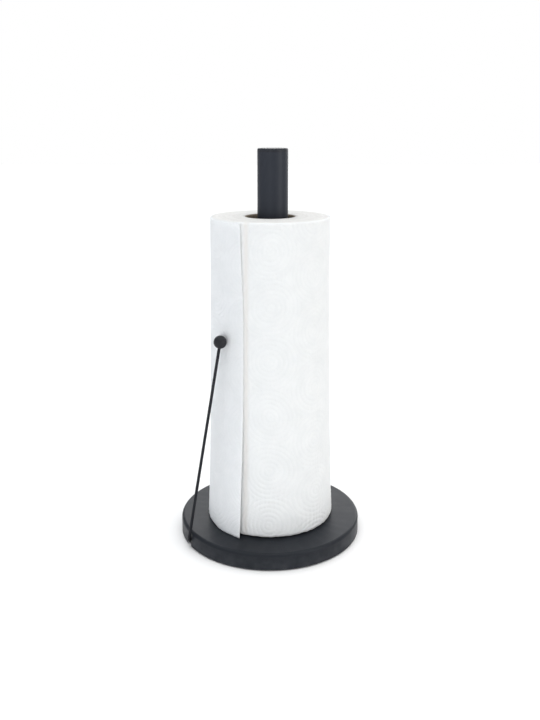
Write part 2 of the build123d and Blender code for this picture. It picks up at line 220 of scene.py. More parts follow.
roll = {  # mm, and degrees for angles
    "radius": 52.4,
    "bore": 21.65,
    "bottom": 14.6,
    "top": 276.3,
    "tall": 262.0,  # wave length of the slowest unevenness
    "offAxis": 0.1,  # mm towards +X, at the core's loose fit
    "waist": 0.8,
    "taper": 2.3,  # mm that the head is slimmer than the foot
    "footBulge": 0.9,
    "outset": 0.3,  # makes up for the embossing's depth
    "slowSize": 0.25,  # slow unevenness from winding
    "ovalSize": 0.15,
    "ovalAngle": 35,
    "spiralStep": 0.45,  # from under the free edge round to where the last sheet joins
    "joinAngle": -3.0,
    "freeAngle": 245.5,
    "roundHead": 1.6,
    "roundFoot": 3.4,
    "footRag": 0.8,
    "bandAngle": 247.3,  # shallow band that the last sheet's edge has pressed into the roll
    "bandWidth": 2.1,
    "bandDepth": 0.3,
    "around": 330,
    "up": 262,
    "endRings": 14,
    "endLift": 0.35,
}


def rollSurface(angle, z):
    # radius of the outer layer, without the embossing
    share = (z - roll["bottom"]) / (roll["top"] - roll["bottom"])
    waist = roll["waist"] * (4 * (share - 0.55) ** 2 - 1.0) - roll["taper"] * share
    waist = waist + roll["footBulge"] * (1 - share) ** 5
    across = np.mod(angle, 360.0) * math.pi / 180 * roll["radius"]
    slow = roll["slowSize"] * addWaves(rollSlowWaves, across, z)
    oval = roll["ovalSize"] * np.cos(2 * np.radians(angle - roll["ovalAngle"]))
    bare = np.mod(roll["joinAngle"] - angle, 360.0) / (360.0 - (roll["freeAngle"] - roll["joinAngle"]))
    spiral = roll["spiralStep"] * np.where(bare <= 1.0, 1.0 - bare, 0.0)
    fromBand = (np.mod(angle, 360.0) - roll["bandAngle"]) / roll["bandWidth"]
    band = roll["bandDepth"] * np.exp(-(fromBand**2))
    return roll["radius"] + waist + slow + oval + spiral - band + roll["outset"]


slowWaves = (  # waves round the roll, waves up it, phase, size
    (1, 1, 0.4, 0.3),
    (2, 0, 1.9, 0.3),
    (2, 1, 4.1, 0.25),
    (3, 2, 2.2, 0.2),
    (5, 1, 5.5, 0.12),
)
rollSlowWaves = [
    (around / roll["radius"], up * 2 * math.pi / roll["tall"], phase, size)
    for around, up, phase, size in slowWaves
]
turns = np.arange(roll["around"]) * 360.0 / roll["around"]
heights = np.linspace(roll["bottom"], roll["top"], roll["up"])
angleGrid, heightGrid = np.meshgrid(turns, heights)
acrossGrid = np.radians(angleGrid) * emboss["rollRadius"]
sideRadius = rollSurface(angleGrid, heightGrid) + embossHeight(acrossGrid, heightGrid) * smoothStep(
    np.minimum(heightGrid - roll["bottom"], roll["top"] - heightGrid), -1.0, 1.5
)
rag = 0.5 + 0.25 * np.sin(np.radians(angleGrid) * 17 + 0.6)
rag = rag + 0.25 * np.sin(np.radians(angleGrid) * 43 + 2.0)
rims = (
    (heightGrid - roll["bottom"], roll["roundFoot"]),
    (roll["top"] - heightGrid, roll["roundHead"]),
)
for gap, reach in rims:
    into = np.clip(1 - gap / reach, 0.0, 1.0)
    sideRadius -= 0.9 * reach * (1 - np.sqrt(1 - into**2))
heightGrid += roll["footRag"] * rag * np.exp(-(heightGrid - roll["bottom"]) / 2.5)


def rollPoints(angle, radius, z):
    x = radius * np.cos(np.radians(angle)) + roll["offAxis"]
    y = radius * np.sin(np.radians(angle))
    return np.stack([x.ravel(), y.ravel(), z.ravel()], axis=1)


def rollEnd(edgeRadius, edgeHeight, outward):
    # rings from the rim in to the bore; the windings stand unevenly, as a slow spiral of ridges
    share = np.linspace(0, 1, roll["endRings"] + 1)[1:, None]
    radius = edgeRadius[None, :] * (1 - share) + roll["bore"] * share
    angle = np.broadcast_to(turns[None, :], radius.shape)
    spiral = radius / 4.3 - angle / 360.0
    fine = 0.6 * np.sin(2 * math.pi * spiral)
    broad = 0.4 * np.sin(2 * math.pi * (spiral * 0.37 + 0.2))
    ridge = roll["endLift"] * (fine + broad)
    settle = np.where(share < 0.999, 1.0, 0.0) * smoothStep(share, 0.0, 0.2)
    return rollPoints(angle, radius, edgeHeight[None, :] + outward * np.minimum(ridge, 0.0) * settle)


points = [rollPoints(angleGrid, sideRadius, heightGrid)]
faces = [gridFaces(roll["up"], roll["around"], True)]
for edge, outward in ((0, -1), (roll["up"] - 1, 1)):
    start = sum(len(p) for p in points)
    ringPoints = rollEnd(sideRadius[edge], heightGrid[edge], outward)
    points.append(ringPoints)
    rim = np.arange(roll["around"]) + edge * roll["around"]
    first = start + np.arange(roll["around"])
    joint = np.stack([rim, np.roll(rim, -1), np.roll(first, -1), first], axis=1)
    faces.append(joint if outward > 0 else joint[:, ::-1])
    faces.append(gridFaces(roll["endRings"], roll["around"], True, start, outward < 0))
bottomBore = len(points[0]) + (roll["endRings"] - 1) * roll["around"] + np.arange(roll["around"])
topBore = bottomBore + roll["endRings"] * roll["around"]
faces.append(np.stack([topBore, np.roll(topBore, -1), np.roll(bottomBore, -1), bottomBore], axis=1))
paperRoll = makeMesh("woundPaper", np.concatenate(points) * mm, np.concatenate(faces))
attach(paperRoll, "paper")
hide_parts("paper_roll")
print("paper roll:", len(paperRoll.data.polygons), "faces")

# last sheet, laid round the roll from its free edge

lastSheet = {  # mm
    "length": 225.0,
    "height": 261.0,
    "bottom": 14.9,
    "thick": 0.25,
    "gap": 0.2,
    "ringPitch": 3.2,
    "shiftAcross": 17.0,  # mm that its embossing is shifted from the roll's
    "shiftUp": 11.0,
    "relief": 0.75,
    "along": 188,
    "up": 218,
    "flareTop": 0.4,
    "flareFoot": 3.0,
    "flareMiddle": 0.1,
    "tornTop": 2.6,  # degrees that the free edge slants back towards the head
    "tornFoot": -0.6,  # and towards the foot
    "flareReach": 12.5,
    "slack": 1.8,  # mm that the sheet stands off where the ball leans on it
    "slackAngle": 224.0,
    "slackSpread": 9.5,  # degrees
    "ballHeight": 178.0,
    "cornerKick": 1.2,
}


def sheetFlare(along, z):
    # how far the sheet stands off the roll near its free edge: least where the ball presses
    above = smoothStep(z, lastSheet["ballHeight"] + 12, 276.0)
    below = smoothStep(-z, -lastSheet["ballHeight"] + 12, -20.0)
    lift = lastSheet["flareMiddle"] + lastSheet["flareTop"] * above**1.3
    lift = lift + lastSheet["flareFoot"] * below**1.5
    corner = lastSheet["cornerKick"] * np.exp(-(z - lastSheet["bottom"]) / 9.0) * np.exp(-along / 7.0)
    return lift * np.exp(-((along / lastSheet["flareReach"]) ** 1.4)) + corner


def sheetPoints(side):
    along = np.linspace(0, lastSheet["length"], lastSheet["along"])
    z = np.linspace(lastSheet["bottom"], lastSheet["bottom"] + lastSheet["height"], lastSheet["up"])
    alongGrid, zGrid = np.meshgrid(along, z)
    edge = roll["freeAngle"] - 0.6 + lastSheet["tornFoot"] * smoothStep(-zGrid, -120.0, -15.0)
    edge -= lastSheet["tornTop"] * smoothStep(zGrid, 190.0, 276.0)
    angle = edge - np.degrees(alongGrid / (roll["radius"] + lastSheet["gap"] + 0.12))
    base = rollSurface(angle, zGrid)
    across = np.radians(angle) * emboss["rollRadius"] + lastSheet["shiftAcross"]
    relief = embossHeight(across, zGrid + lastSheet["shiftUp"], lastSheet["ringPitch"])
    relief = lastSheet["relief"] * relief
    fromBall = (angle - lastSheet["slackAngle"]) / lastSheet["slackSpread"]
    slack = lastSheet["slack"] * np.exp(-(fromBall**2) / 2)
    radius = base + lastSheet["gap"] + side * lastSheet["thick"] + relief + slack
    radius = radius + sheetFlare(alongGrid, zGrid)
    return rollPoints(angle, radius, zGrid)


inner, outer = sheetPoints(0), sheetPoints(1)
rows, columns = lastSheet["up"], lastSheet["along"]
count = rows * columns
rimLoop = np.concatenate(
    [
        np.arange(columns),
        np.arange(1, rows) * columns + columns - 1,
        (rows - 1) * columns + np.arange(columns - 2, -1, -1),
        np.arange(rows - 2, 0, -1) * columns,
    ]
)
rimNext = np.roll(rimLoop, -1)
edgeFaces = np.stack([rimLoop, rimNext, rimNext + count, rimLoop + count], axis=1)
sheetFaces = [
    gridFaces(rows, columns, False),
    gridFaces(rows, columns, False, count, True),
    edgeFaces[:, ::-1],
]
looseSheet = makeMesh("lastSheet", np.concatenate([inner, outer]) * mm, np.concatenate(sheetFaces))
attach(looseSheet, "paper")
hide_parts("loose_sheet")
print("last sheet:", len(looseSheet.data.polygons), "faces")

# cardboard core: two plies wound in a spiral, with the inner ply's open seam

core = {
    "bore": 20.7,
    "outer": 21.6,
    "bottom": 14.3,
    "top": 276.0,
    "around": 144,
    "up": 190,
    "seamPitch": 78.0,
    "seamDepth": 0.22,
    "seamWidth": 1.6,
}
coreTurns = np.arange(core["around"]) * 360.0 / core["around"]
coreHeights = np.linspace(core["bottom"], core["top"], core["up"])
coreAngle, coreZ = np.meshgrid(coreTurns, coreHeights)
fromSeam = np.mod(coreZ / core["seamPitch"] - coreAngle / 360.0 + 0.5, 1.0) - 0.5
seam = np.exp(-((fromSeam * core["seamPitch"] * 0.86 / core["seamWidth"]) ** 2))
rimSoft = smoothStep(np.minimum(coreZ - core["bottom"], core["top"] - coreZ), 0.0, 0.8)


def corePoints(radius):
    x, y = radius * np.cos(np.radians(coreAngle)), radius * np.sin(np.radians(coreAngle))
    return np.stack([x.ravel(), y.ravel(), coreZ.ravel()], axis=1)


boreWall = corePoints(core["bore"] + core["seamDepth"] * seam + 0.18 * (1 - rimSoft))
outerWall = corePoints(core["outer"] - 0.12 * (1 - rimSoft))
count = len(boreWall)
ends = []
for edge, flip in ((0, False), (core["up"] - 1, True)):
    bore = edge * core["around"] + np.arange(core["around"])
    quads = np.stack([bore, np.roll(bore, -1), np.roll(bore, -1) + count, bore + count], axis=1)
    ends.append(quads[:, ::-1] if flip else quads)
cardboardCore = makeMesh(
    "cardboardCore",
    np.concatenate([boreWall, outerWall]) * mm,
    np.concatenate(
        [
            gridFaces(core["up"], core["around"], True, 0, True),
            gridFaces(core["up"], core["around"], True, count),
            *ends,
        ]
    ),
)
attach(cardboardCore, "core")
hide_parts("roll_core")
print("core:", len(cardboardCore.data.polygons), "faces")

# floor

half = studio["floorHalf"]
floorSteps = np.linspace(-half, half, 9)
floorX, floorY = np.meshgrid(floorSteps, floorSteps)
floor = makeMesh(
    "paleFloor",
    np.stack([floorX.ravel(), floorY.ravel(), np.zeros(floorX.size)], axis=1),
    gridFaces(9, 9, False),
)

# shader groups


def newGroup(name, inputs, outputs):
    group = bpy.data.node_groups.new(name, "ShaderNodeTree")
    for label, value in inputs.items():
        kind = "NodeSocketVector" if isinstance(value, tuple) else "NodeSocketFloat"
        group.interface.new_socket(label, in_out="INPUT", socket_type=kind).default_value = value
    for label, kind in outputs.items():
        group.interface.new_socket(label, in_out="OUTPUT", socket_type="NodeSocket" + kind)
    return group, group.nodes.new("NodeGroupInput"), group.nodes.new("NodeGroupOutput")


def plug(tree, value, socket):
    # a socket is linked and a number is set
    if isinstance(value, bpy.types.NodeSocket):
        tree.links.new(value, socket)
    else:
        socket.default_value = value


def mathNode(tree, operation, first, second=None, third=None):
    node = tree.nodes.new("ShaderNodeMath")
    node.operation = operation
    for socket, value in zip(node.inputs, (first, second, third)):
        if value is not None:
            plug(tree, value, socket)
    return node.outputs[0]


def times(tree, first, second):
    return mathNode(tree, "MULTIPLY", first, second)


def plus(tree, first, second):
    return mathNode(tree, "ADD", first, second)


def minus(tree, first, second):
    return mathNode(tree, "SUBTRACT", first, second)


def scaleAdd(tree, value, scale, added):
    return mathNode(tree, "MULTIPLY_ADD", value, scale, added)


def sine(tree, value):
    return mathNode(tree, "SINE", value)


def rangeNode(tree, value, low, high, toLow, toHigh, smooth=False):
    node = tree.nodes.new("ShaderNodeMapRange")
    node.interpolation_type = "SMOOTHSTEP" if smooth else "LINEAR"
    labels = ("Value", "From Min", "From Max", "To Min", "To Max")
    for label, given in zip(labels, (value, low, high, toLow, toHigh)):
        plug(tree, given, node.inputs[label])
    return node.outputs["Result"]


def noiseNode(tree, place, scale, detail=2.0, rough=0.5, distortion=0.0):
    node = tree.nodes.new("ShaderNodeTexNoise")
    for label, given in (
        ("Vector", place),
        ("Scale", scale),
        ("Detail", detail),
        ("Roughness", rough),
        ("Distortion", distortion),
    ):
        plug(tree, given, node.inputs[label])
    return node.outputs["Fac"]


def placeNode(tree):
    return tree.nodes.new("ShaderNodeTexCoord").outputs["Object"]


def stretchNode(tree, place, stretch):
    node = tree.nodes.new("ShaderNodeMapping")
    plug(tree, place, node.inputs["Vector"])
    node.inputs["Scale"].default_value = stretch
    return node.outputs["Vector"]


def mixColour(tree, share, first, second):
    node = tree.nodes.new("ShaderNodeMix")
    node.data_type = "RGBA"
    plug(tree, share, node.inputs[0])
    plug(tree, first if isinstance(first, bpy.types.NodeSocket) else (*first, 1.0), node.inputs[6])
    plug(tree, second if isinstance(second, bpy.types.NodeSocket) else (*second, 1.0), node.inputs[7])
    return node.outputs[2]


def splitNode(tree, place):
    node = tree.nodes.new("ShaderNodeSeparateXYZ")
    plug(tree, place, node.inputs[0])
    return node.outputs


def buildPowderGrain():
    # baked powder coating: fine orange peel with small pits and a slow drift in tone
    tree, given, made = newGroup(
        "powderGrain",
        {"Peel Scale": 900.0, "Speckle Scale": 2600.0, "Drift Scale": 14.0},
        {"Height": "Float", "Speckle": "Float", "Drift": "Float"},
    )
    place = placeNode(tree)
    peel = noiseNode(tree, place, given.outputs["Peel Scale"], 3.0, 0.55)
    speckle = noiseNode(tree, place, given.outputs["Speckle Scale"], 1.0, 0.4)
    drift = noiseNode(tree, place, given.outputs["Drift Scale"], 2.0, 0.5)
    height = scaleAdd(tree, speckle, 0.45, peel)
    tree.links.new(height, made.inputs["Height"])
    tree.links.new(rangeNode(tree, speckle, 0.42, 0.68, 0.0, 1.0, True), made.inputs["Speckle"])
    tree.links.new(rangeNode(tree, drift, 0.3, 0.7, 0.0, 1.0), made.inputs["Drift"])
    return tree


def buildSettledLint():
    # paper lint and dust: thin patches on faces that look up
    tree, given, made = newGroup(
        "settledLint",
        {"Patch Scale": 60.0, "Fleck Scale": 900.0},
        {"Mask": "Float"},
    )
    place = placeNode(tree)
    facing = splitNode(tree, tree.nodes.new("ShaderNodeNewGeometry").outputs["Normal"])[2]
    up = rangeNode(tree, facing, 0.55, 0.95, 0.0, 1.0, True)
    wide = noiseNode(tree, place, given.outputs["Patch Scale"], 3.0, 0.6)
    fine = noiseNode(tree, place, given.outputs["Fleck Scale"], 2.0, 0.6)
    patch = rangeNode(tree, wide, 0.42, 0.7, 0.0, 1.0)
    fleck = rangeNode(tree, fine, 0.6, 0.78, 0.0, 1.0)
    both = times(tree, times(tree, patch, fleck), up)
    tree.links.new(both, made.inputs["Mask"])
    return tree


def buildRubbedEdge():
    # rims and corners that hands and cloths have polished
    tree, given, made = newGroup("rubbedEdge", {"Break Scale": 120.0}, {"Mask": "Float"})
    point = tree.nodes.new("ShaderNodeNewGeometry").outputs["Pointiness"]
    edge = rangeNode(tree, point, 0.51, 0.6, 0.0, 1.0, True)
    noise = noiseNode(tree, placeNode(tree), given.outputs["Break Scale"], 3.0, 0.6)
    broken = rangeNode(tree, noise, 0.35, 0.65, 0.2, 1.0)
    tree.links.new(times(tree, edge, broken), made.inputs["Mask"])
    return tree


def buildTissueFibre():
    # creped tissue: fine level creases with fibres lying every way
    tree, given, made = newGroup(
        "tissueFibre",
        {"Crepe Scale": 1500.0, "Fibre Scale": 2200.0, "Cloud Scale": 90.0},
        {"Height": "Float", "Fibre": "Float", "Cloud": "Float"},
    )
    place = placeNode(tree)
    level = stretchNode(tree, place, (0.35, 0.35, 1.0))
    crepe = noiseNode(tree, level, given.outputs["Crepe Scale"], 2.0, 0.6, 0.4)
    fibre = noiseNode(tree, place, given.outputs["Fibre Scale"], 2.0, 0.7, 1.2)
    cloud = noiseNode(tree, place, given.outputs["Cloud Scale"], 4.0, 0.6)
    tree.links.new(scaleAdd(tree, fibre, 0.5, crepe), made.inputs["Height"])
    tree.links.new(rangeNode(tree, fibre, 0.35, 0.7, 0.0, 1.0), made.inputs["Fibre"])
    tree.links.new(rangeNode(tree, cloud, 0.3, 0.7, 0.0, 1.0), made.inputs["Cloud"])
    return tree


def buildRingEmboss():
    # staggered cells of concentric rings round an upright roll, with the rings broken into short dashes
    tree, given, made = newGroup(
        "ringEmboss",
        {
            "Columns": float(emboss["columns"]),
            "Row Pitch": emboss["rowPitch"] * mm,
            "Column Pitch": emboss["columnPitch"] * mm,
            "Ring Pitch": emboss["ringPitch"] * mm,
            "Shift Across": 0.0,
            "Shift Up": 0.0,
            "Stretch": emboss["stretch"] * mm,
        },
        {"Height": "Float", "Groove": "Float"},
    )
    parts = splitNode(tree, placeNode(tree))
    turn = mathNode(tree, "ARCTAN2", parts[1], parts[0])
    wide = given.outputs["Column Pitch"]
    tall = given.outputs["Row Pitch"]
    roundLength = times(tree, wide, given.outputs["Columns"])
    across = times(tree, mathNode(tree, "DIVIDE", turn, 2 * math.pi), roundLength)
    across = plus(tree, across, given.outputs["Shift Across"])
    turned = times(tree, turn, emboss["slantTurns"])
    slant = sine(tree, scaleAdd(tree, parts[2], 1 / (emboss["slantPitch"] * mm), turned))
    drift = sine(tree, scaleAdd(tree, parts[2], 1 / (emboss["driftPitch"] * mm), emboss["driftPhase"]))
    across = scaleAdd(tree, times(tree, slant, drift), given.outputs["Stretch"], across)
    sway = sine(tree, scaleAdd(tree, turn, emboss["swayTurns"], emboss["swayPhase"]))
    sag = mathNode(tree, "COSINE", times(tree, parts[2], 1 / (emboss["sagPitch"] * mm)))
    up = scaleAdd(tree, times(tree, sway, sag), given.outputs["Stretch"], parts[2])
    up = plus(tree, up, given.outputs["Shift Up"])
    halfTall = times(tree, tall, 0.5)
    twiceWide = times(tree, wide, 2.0)
    distances = []
    for staggered in (False, True):
        a = plus(tree, across, wide) if staggered else across
        u = plus(tree, up, halfTall) if staggered else up
        a = mathNode(tree, "FLOORED_MODULO", plus(tree, a, wide), twiceWide)
        u = mathNode(tree, "FLOORED_MODULO", plus(tree, u, halfTall), tall)
        a = minus(tree, a, wide)
        u = minus(tree, u, halfTall)
        turnHere = mathNode(tree, "ARCTAN2", u, a)
        squares = plus(tree, times(tree, a, a), times(tree, u, u))
        distances.append((mathNode(tree, "SQRT", squares), turnHere))
    near = mathNode(tree, "MINIMUM", distances[0][0], distances[1][0])
    first = mathNode(tree, "LESS_THAN", distances[0][0], distances[1][0])
    difference = minus(tree, distances[0][1], distances[1][1])
    spin = plus(tree, distances[1][1], times(tree, first, difference))
    ringShare = mathNode(tree, "DIVIDE", near, given.outputs["Ring Pitch"])
    cosine = mathNode(tree, "COSINE", times(tree, ringShare, 2 * math.pi))
    ring = scaleAdd(tree, cosine, 0.5, 0.5)
    ringNumber = mathNode(tree, "ROUND", ringShare)
    dash = sine(tree, times(tree, spin, times(tree, ringNumber, 9.0)))
    dashed = scaleAdd(tree, dash, 0.22, 0.78)
    groove = times(tree, mathNode(tree, "POWER", ring, 2.5), dashed)
    tree.links.new(groove, made.inputs["Groove"])
    tree.links.new(times(tree, groove, -1.0), made.inputs["Height"])
    return tree


def buildEdgeShadeBand():
    # a soft upright band at one turn about the axis: the mask for the painted shade beside the last
    # sheet's free edge
    tree, given, made = newGroup("edgeShadeBand", {"Turn": 0.0, "Width": 0.04}, {"Mask": "Float"})
    parts = splitNode(tree, placeNode(tree))
    turn = mathNode(tree, "ARCTAN2", parts[1], parts[0])
    off = mathNode(tree, "ABSOLUTE", minus(tree, turn, given.outputs["Turn"]))
    uneven = scaleAdd(tree, noiseNode(tree, placeNode(tree), 70.0, 2.0, 0.5), 0.8, 0.6)
    reach = times(tree, given.outputs["Width"], uneven)
    tree.links.new(rangeNode(tree, off, 0.0, reach, 1.0, 0.0, True), made.inputs["Mask"])
    return tree


def buildWoundLayers():
    # the roll's ends: thin windings seen edge on, some tight and some loose
    tree, given, made = newGroup(
        "woundLayers",
        {"Winding": 0.55 * mm},
        {"Height": "Float", "Gap": "Float", "Band": "Float"},
    )
    place = placeNode(tree)
    parts = splitNode(tree, place)
    squares = plus(tree, times(tree, parts[0], parts[0]), times(tree, parts[1], parts[1]))
    radius = mathNode(tree, "SQRT", squares)
    turn = mathNode(tree, "DIVIDE", mathNode(tree, "ARCTAN2", parts[1], parts[0]), 2 * math.pi)
    wobble = times(tree, minus(tree, noiseNode(tree, place, 55.0, 2.0, 0.5), 0.5), 1.6 * mm)
    windings = mathNode(tree, "DIVIDE", plus(tree, radius, wobble), given.outputs["Winding"])
    spiral = minus(tree, windings, turn)
    wave = scaleAdd(tree, sine(tree, times(tree, spiral, 2 * math.pi)), 0.5, 0.5)
    slow = sine(tree, times(tree, spiral, 2 * math.pi * 0.137))
    slower = sine(tree, times(tree, spiral, 2 * math.pi * 0.051))
    band = scaleAdd(tree, plus(tree, slow, slower), 0.25, 0.5)
    tree.links.new(plus(tree, wave, times(tree, band, 1.5)), made.inputs["Height"])
    tree.links.new(mathNode(tree, "POWER", minus(tree, 1.0, wave), 3.0), made.inputs["Gap"])
    tree.links.new(band, made.inputs["Band"])
    return tree


def buildMetalGrain():
    # plated or drawn metal: fine lines along one way, with cloudy patches
    tree, given, made = newGroup(
        "metalGrain",
        {"Line Scale": 1600.0, "Cloud Scale": 180.0, "Stretch": (1.0, 1.0, 0.08)},
        {"Height": "Float", "Line": "Float", "Cloud": "Float"},
    )
    place = placeNode(tree)
    stretch = tree.nodes.new("ShaderNodeVectorMath")
    stretch.operation = "MULTIPLY"
    tree.links.new(place, stretch.inputs[0])
    tree.links.new(given.outputs["Stretch"], stretch.inputs[1])
    line = noiseNode(tree, stretch.outputs[0], given.outputs["Line Scale"], 2.0, 0.6)
    cloud = noiseNode(tree, place, given.outputs["Cloud Scale"], 3.0, 0.55)
    tree.links.new(line, made.inputs["Height"])
    tree.links.new(rangeNode(tree, line, 0.3, 0.7, 0.0, 1.0), made.inputs["Line"])
    tree.links.new(rangeNode(tree, cloud, 0.35, 0.68, 0.0, 1.0), made.inputs["Cloud"])
    return tree


def buildBoardFibre():
    # grey-brown pulp board: short fibres, darker flecks
    tree, given, made = newGroup(
        "boardFibre",
        {"Fibre Scale": 900.0, "Fleck Scale": 500.0},
        {"Height": "Float", "Fibre": "Float", "Fleck": "Float"},
    )
    place = placeNode(tree)
    upright = stretchNode(tree, place, (1.0, 1.0, 0.3))
    fibre = noiseNode(tree, upright, given.outputs["Fibre Scale"], 3.0, 0.65, 0.6)
    fleck = noiseNode(tree, place, given.outputs["Fleck Scale"], 1.0, 0.5)
    tree.links.new(fibre, made.inputs["Height"])
    tree.links.new(rangeNode(tree, fibre, 0.3, 0.72, 0.0, 1.0), made.inputs["Fibre"])
    tree.links.new(rangeNode(tree, fleck, 0.62, 0.72, 0.0, 1.0), made.inputs["Fleck"])
    return tree


groups = {
    made.name: made
    for made in (
        buildPowderGrain(),
        buildSettledLint(),
        buildRubbedEdge(),
        buildTissueFibre(),
        buildRingEmboss(),
        buildEdgeShadeBand(),
        buildWoundLayers(),
        buildMetalGrain(),
        buildBoardFibre(),
    )
}
print("shader groups:", len(groups))

# materials


def newFinish(name, shaderValues):
    material = bpy.data.materials.new(name)
    material.use_nodes = True
    shader = material.node_tree.nodes["Principled BSDF"]
    for label, value in shaderValues.items():
        shader.inputs[label].default_value = value
    return material, material.node_tree, shader


def groupNode(tree, name, **values):
    node = tree.nodes.new("ShaderNodeGroup")
    node.node_tree = groups[name]
    for label, value in values.items():
        plug(tree, value, node.inputs[label.replace("_", " ")])
    return node.outputs


def bumpNode(tree, height, strength, distance, below=None):
    node = tree.nodes.new("ShaderNodeBump")
    node.inputs["Strength"].default_value = strength
    node.inputs["Distance"].default_value = distance
    plug(tree, height, node.inputs["Height"])
    if below is not None:
        plug(tree, below, node.inputs["Normal"])
    return node.outputs["Normal"]


powderCoat = {
    "baseCoat": {
        "dark": (0.013, 0.015, 0.019),
        "light": (0.020, 0.023, 0.029),
        "rough": (0.37, 0.44),
        "peel": 0.4,
        "rub": 0.25,
        "lint": 0.05,
        "grain": 1200.0,
        "speckle": 0.4,
    },
    "postCoat": {
        "dark": (0.0250, 0.0285, 0.0375),
        "light": (0.0280, 0.0315, 0.0410),
        "rough": (0.43, 0.44),
        "peel": 0.12,
        "rub": 0.02,
        "lint": 0.01,
        "grain": 1900.0,
        "speckle": 0.2,
    },
    "capCoat": {
        "dark": (0.020, 0.022, 0.028),
        "light": (0.027, 0.029, 0.036),
        "rough": (0.40, 0.46),
        "peel": 0.3,
        "rub": 0.2,
        "lint": 0.03,
        "grain": 1500.0,
        "speckle": 0.4,
    },
    "wireCoat": {
        "dark": (0.011, 0.012, 0.015),
        "light": (0.019, 0.021, 0.025),
        "rough": (0.38, 0.50),
        "peel": 0.3,
        "rub": 0.1,
        "lint": 0.0,
        "grain": 1900.0,
        "speckle": 0.4,
    },
}


def makePowderCoat(name, look):
    material, tree, shader = newFinish(name, {"IOR": 1.2})
    grain = groupNode(tree, "powderGrain", Peel_Scale=look["grain"])
    lint = groupNode(tree, "settledLint")
    rubbed = groupNode(tree, "rubbedEdge")
    tone = scaleAdd(tree, grain["Speckle"], look["speckle"], times(tree, grain["Drift"], 0.5))
    colour = mixColour(tree, tone, look["dark"], look["light"])
    colour = mixColour(tree, times(tree, rubbed["Mask"], look["rub"]), colour, (0.10, 0.105, 0.115))
    colour = mixColour(tree, times(tree, lint["Mask"], look["lint"]), colour, (0.6, 0.6, 0.6))
    tree.links.new(colour, shader.inputs["Base Color"])
    low, high = look["rough"]
    rough = rangeNode(tree, grain["Drift"], 0.0, 1.0, low, high)
    rough = scaleAdd(tree, rubbed["Mask"], -0.3 * look["rub"], rough)
    tree.links.new(rough, shader.inputs["Roughness"])
    tree.links.new(bumpNode(tree, grain["Height"], look["peel"], 0.05 * mm), shader.inputs["Normal"])
    return material


coats = {name: makePowderCoat(name, look) for name, look in powderCoat.items()}

tissue = {
    "rollTissue": {
        "shade": (0.735, 0.75, 0.755),
        "bright": (0.80, 0.81, 0.81),
        # painted shade colour for the embossed grooves
        "groove": (0.71, 0.725, 0.735),
        "emboss": 0.3,
        "soak": 0.3,
        # share of painted shade beside the last sheet's free edge
        "band": 0.55,
        "pitch": emboss["ringPitch"] * mm,
        "shift": (0.0, 0.0),
    },
    "sheetTissue": {
        "shade": (0.765, 0.785, 0.80),
        "bright": (0.83, 0.845, 0.86),
        # painted shade colour for the embossed grooves
        "groove": (0.74, 0.765, 0.785),
        "emboss": 0.45,
        "soak": 0.35,
        "band": 0.0,
        "pitch": lastSheet["ringPitch"] * mm,
        "shift": (lastSheet["shiftAcross"] * mm, lastSheet["shiftUp"] * mm),
    },
}


def makeTissue(name, look):
    soak = {
        "Subsurface Weight": look["soak"],
        "Subsurface Radius": (1.0, 0.97, 0.92),
        "Subsurface Scale": 1.4 * mm,
    }
    material, tree, shader = newFinish(name, {"Specular IOR Level": 0.2, **soak})
    fibre = groupNode(tree, "tissueFibre")
    rings = groupNode(
        tree,
        "ringEmboss",
        Ring_Pitch=look["pitch"],
        Shift_Across=look["shift"][0],
        Shift_Up=look["shift"][1] - emboss["rise"] * mm,
    )
    tone = scaleAdd(tree, fibre["Cloud"], 0.6, times(tree, fibre["Fibre"], 0.4))
    colour = mixColour(tree, tone, look["shade"], look["bright"])
    # painted shade: the colour is darkened along the embossed grooves
    colour = mixColour(tree, times(tree, rings["Groove"], 0.2), colour, look["groove"])
    # painted shade: the roll is tinted darker and warmer in a band beside the last sheet's free edge,
    # where the standing edge shades it
    if look["band"]:
        pressed = groupNode(tree, "edgeShadeBand", Turn=math.radians(roll["bandAngle"] - 360.0), Width=0.075)
        colour = mixColour(tree, times(tree, pressed["Mask"], look["band"]), colour, (0.71, 0.68, 0.645))
    tree.links.new(colour, shader.inputs["Base Color"])
    tree.links.new(rangeNode(tree, fibre["Fibre"], 0.0, 1.0, 0.82, 0.96), shader.inputs["Roughness"])
    fine = bumpNode(tree, fibre["Height"], 0.35, 0.10 * mm)
    relief = bumpNode(tree, rings["Height"], look["emboss"], 0.35 * mm, fine)
    tree.links.new(relief, shader.inputs["Normal"])
    return material


tissues = {name: makeTissue(name, look) for name, look in tissue.items()}

rollEndLook = {
    "shade": (0.70, 0.695, 0.68),
    "bright": (0.80, 0.80, 0.79),
    # painted shade colour for the gaps between windings
    "gap": (0.60, 0.59, 0.57),
    "ridge": 0.5,
}


def makeRollEnd():
    material, tree, shader = newFinish("rollEndTissue", {"Specular IOR Level": 0.15})
    layers = groupNode(tree, "woundLayers")
    fibre = groupNode(tree, "tissueFibre")
    tone = scaleAdd(tree, fibre["Cloud"], 0.4, times(tree, layers["Band"], 0.6))
    colour = mixColour(tree, tone, rollEndLook["shade"], rollEndLook["bright"])
    # painted shade: darker in the gaps between the windings
    colour = mixColour(tree, times(tree, layers["Gap"], 0.35), colour, rollEndLook["gap"])
    tree.links.new(colour, shader.inputs["Base Color"])
    tree.links.new(rangeNode(tree, fibre["Fibre"], 0.0, 1.0, 0.85, 0.97), shader.inputs["Roughness"])
    fine = bumpNode(tree, fibre["Height"], 0.3, 0.10 * mm)
    ridges = bumpNode(tree, layers["Height"], rollEndLook["ridge"], 0.25 * mm, fine)
    tree.links.new(ridges, shader.inputs["Normal"])
    return material


board = {"dark": (0.20, 0.165, 0.125), "light": (0.36, 0.30, 0.235), "fleck": (0.11, 0.09, 0.07)}


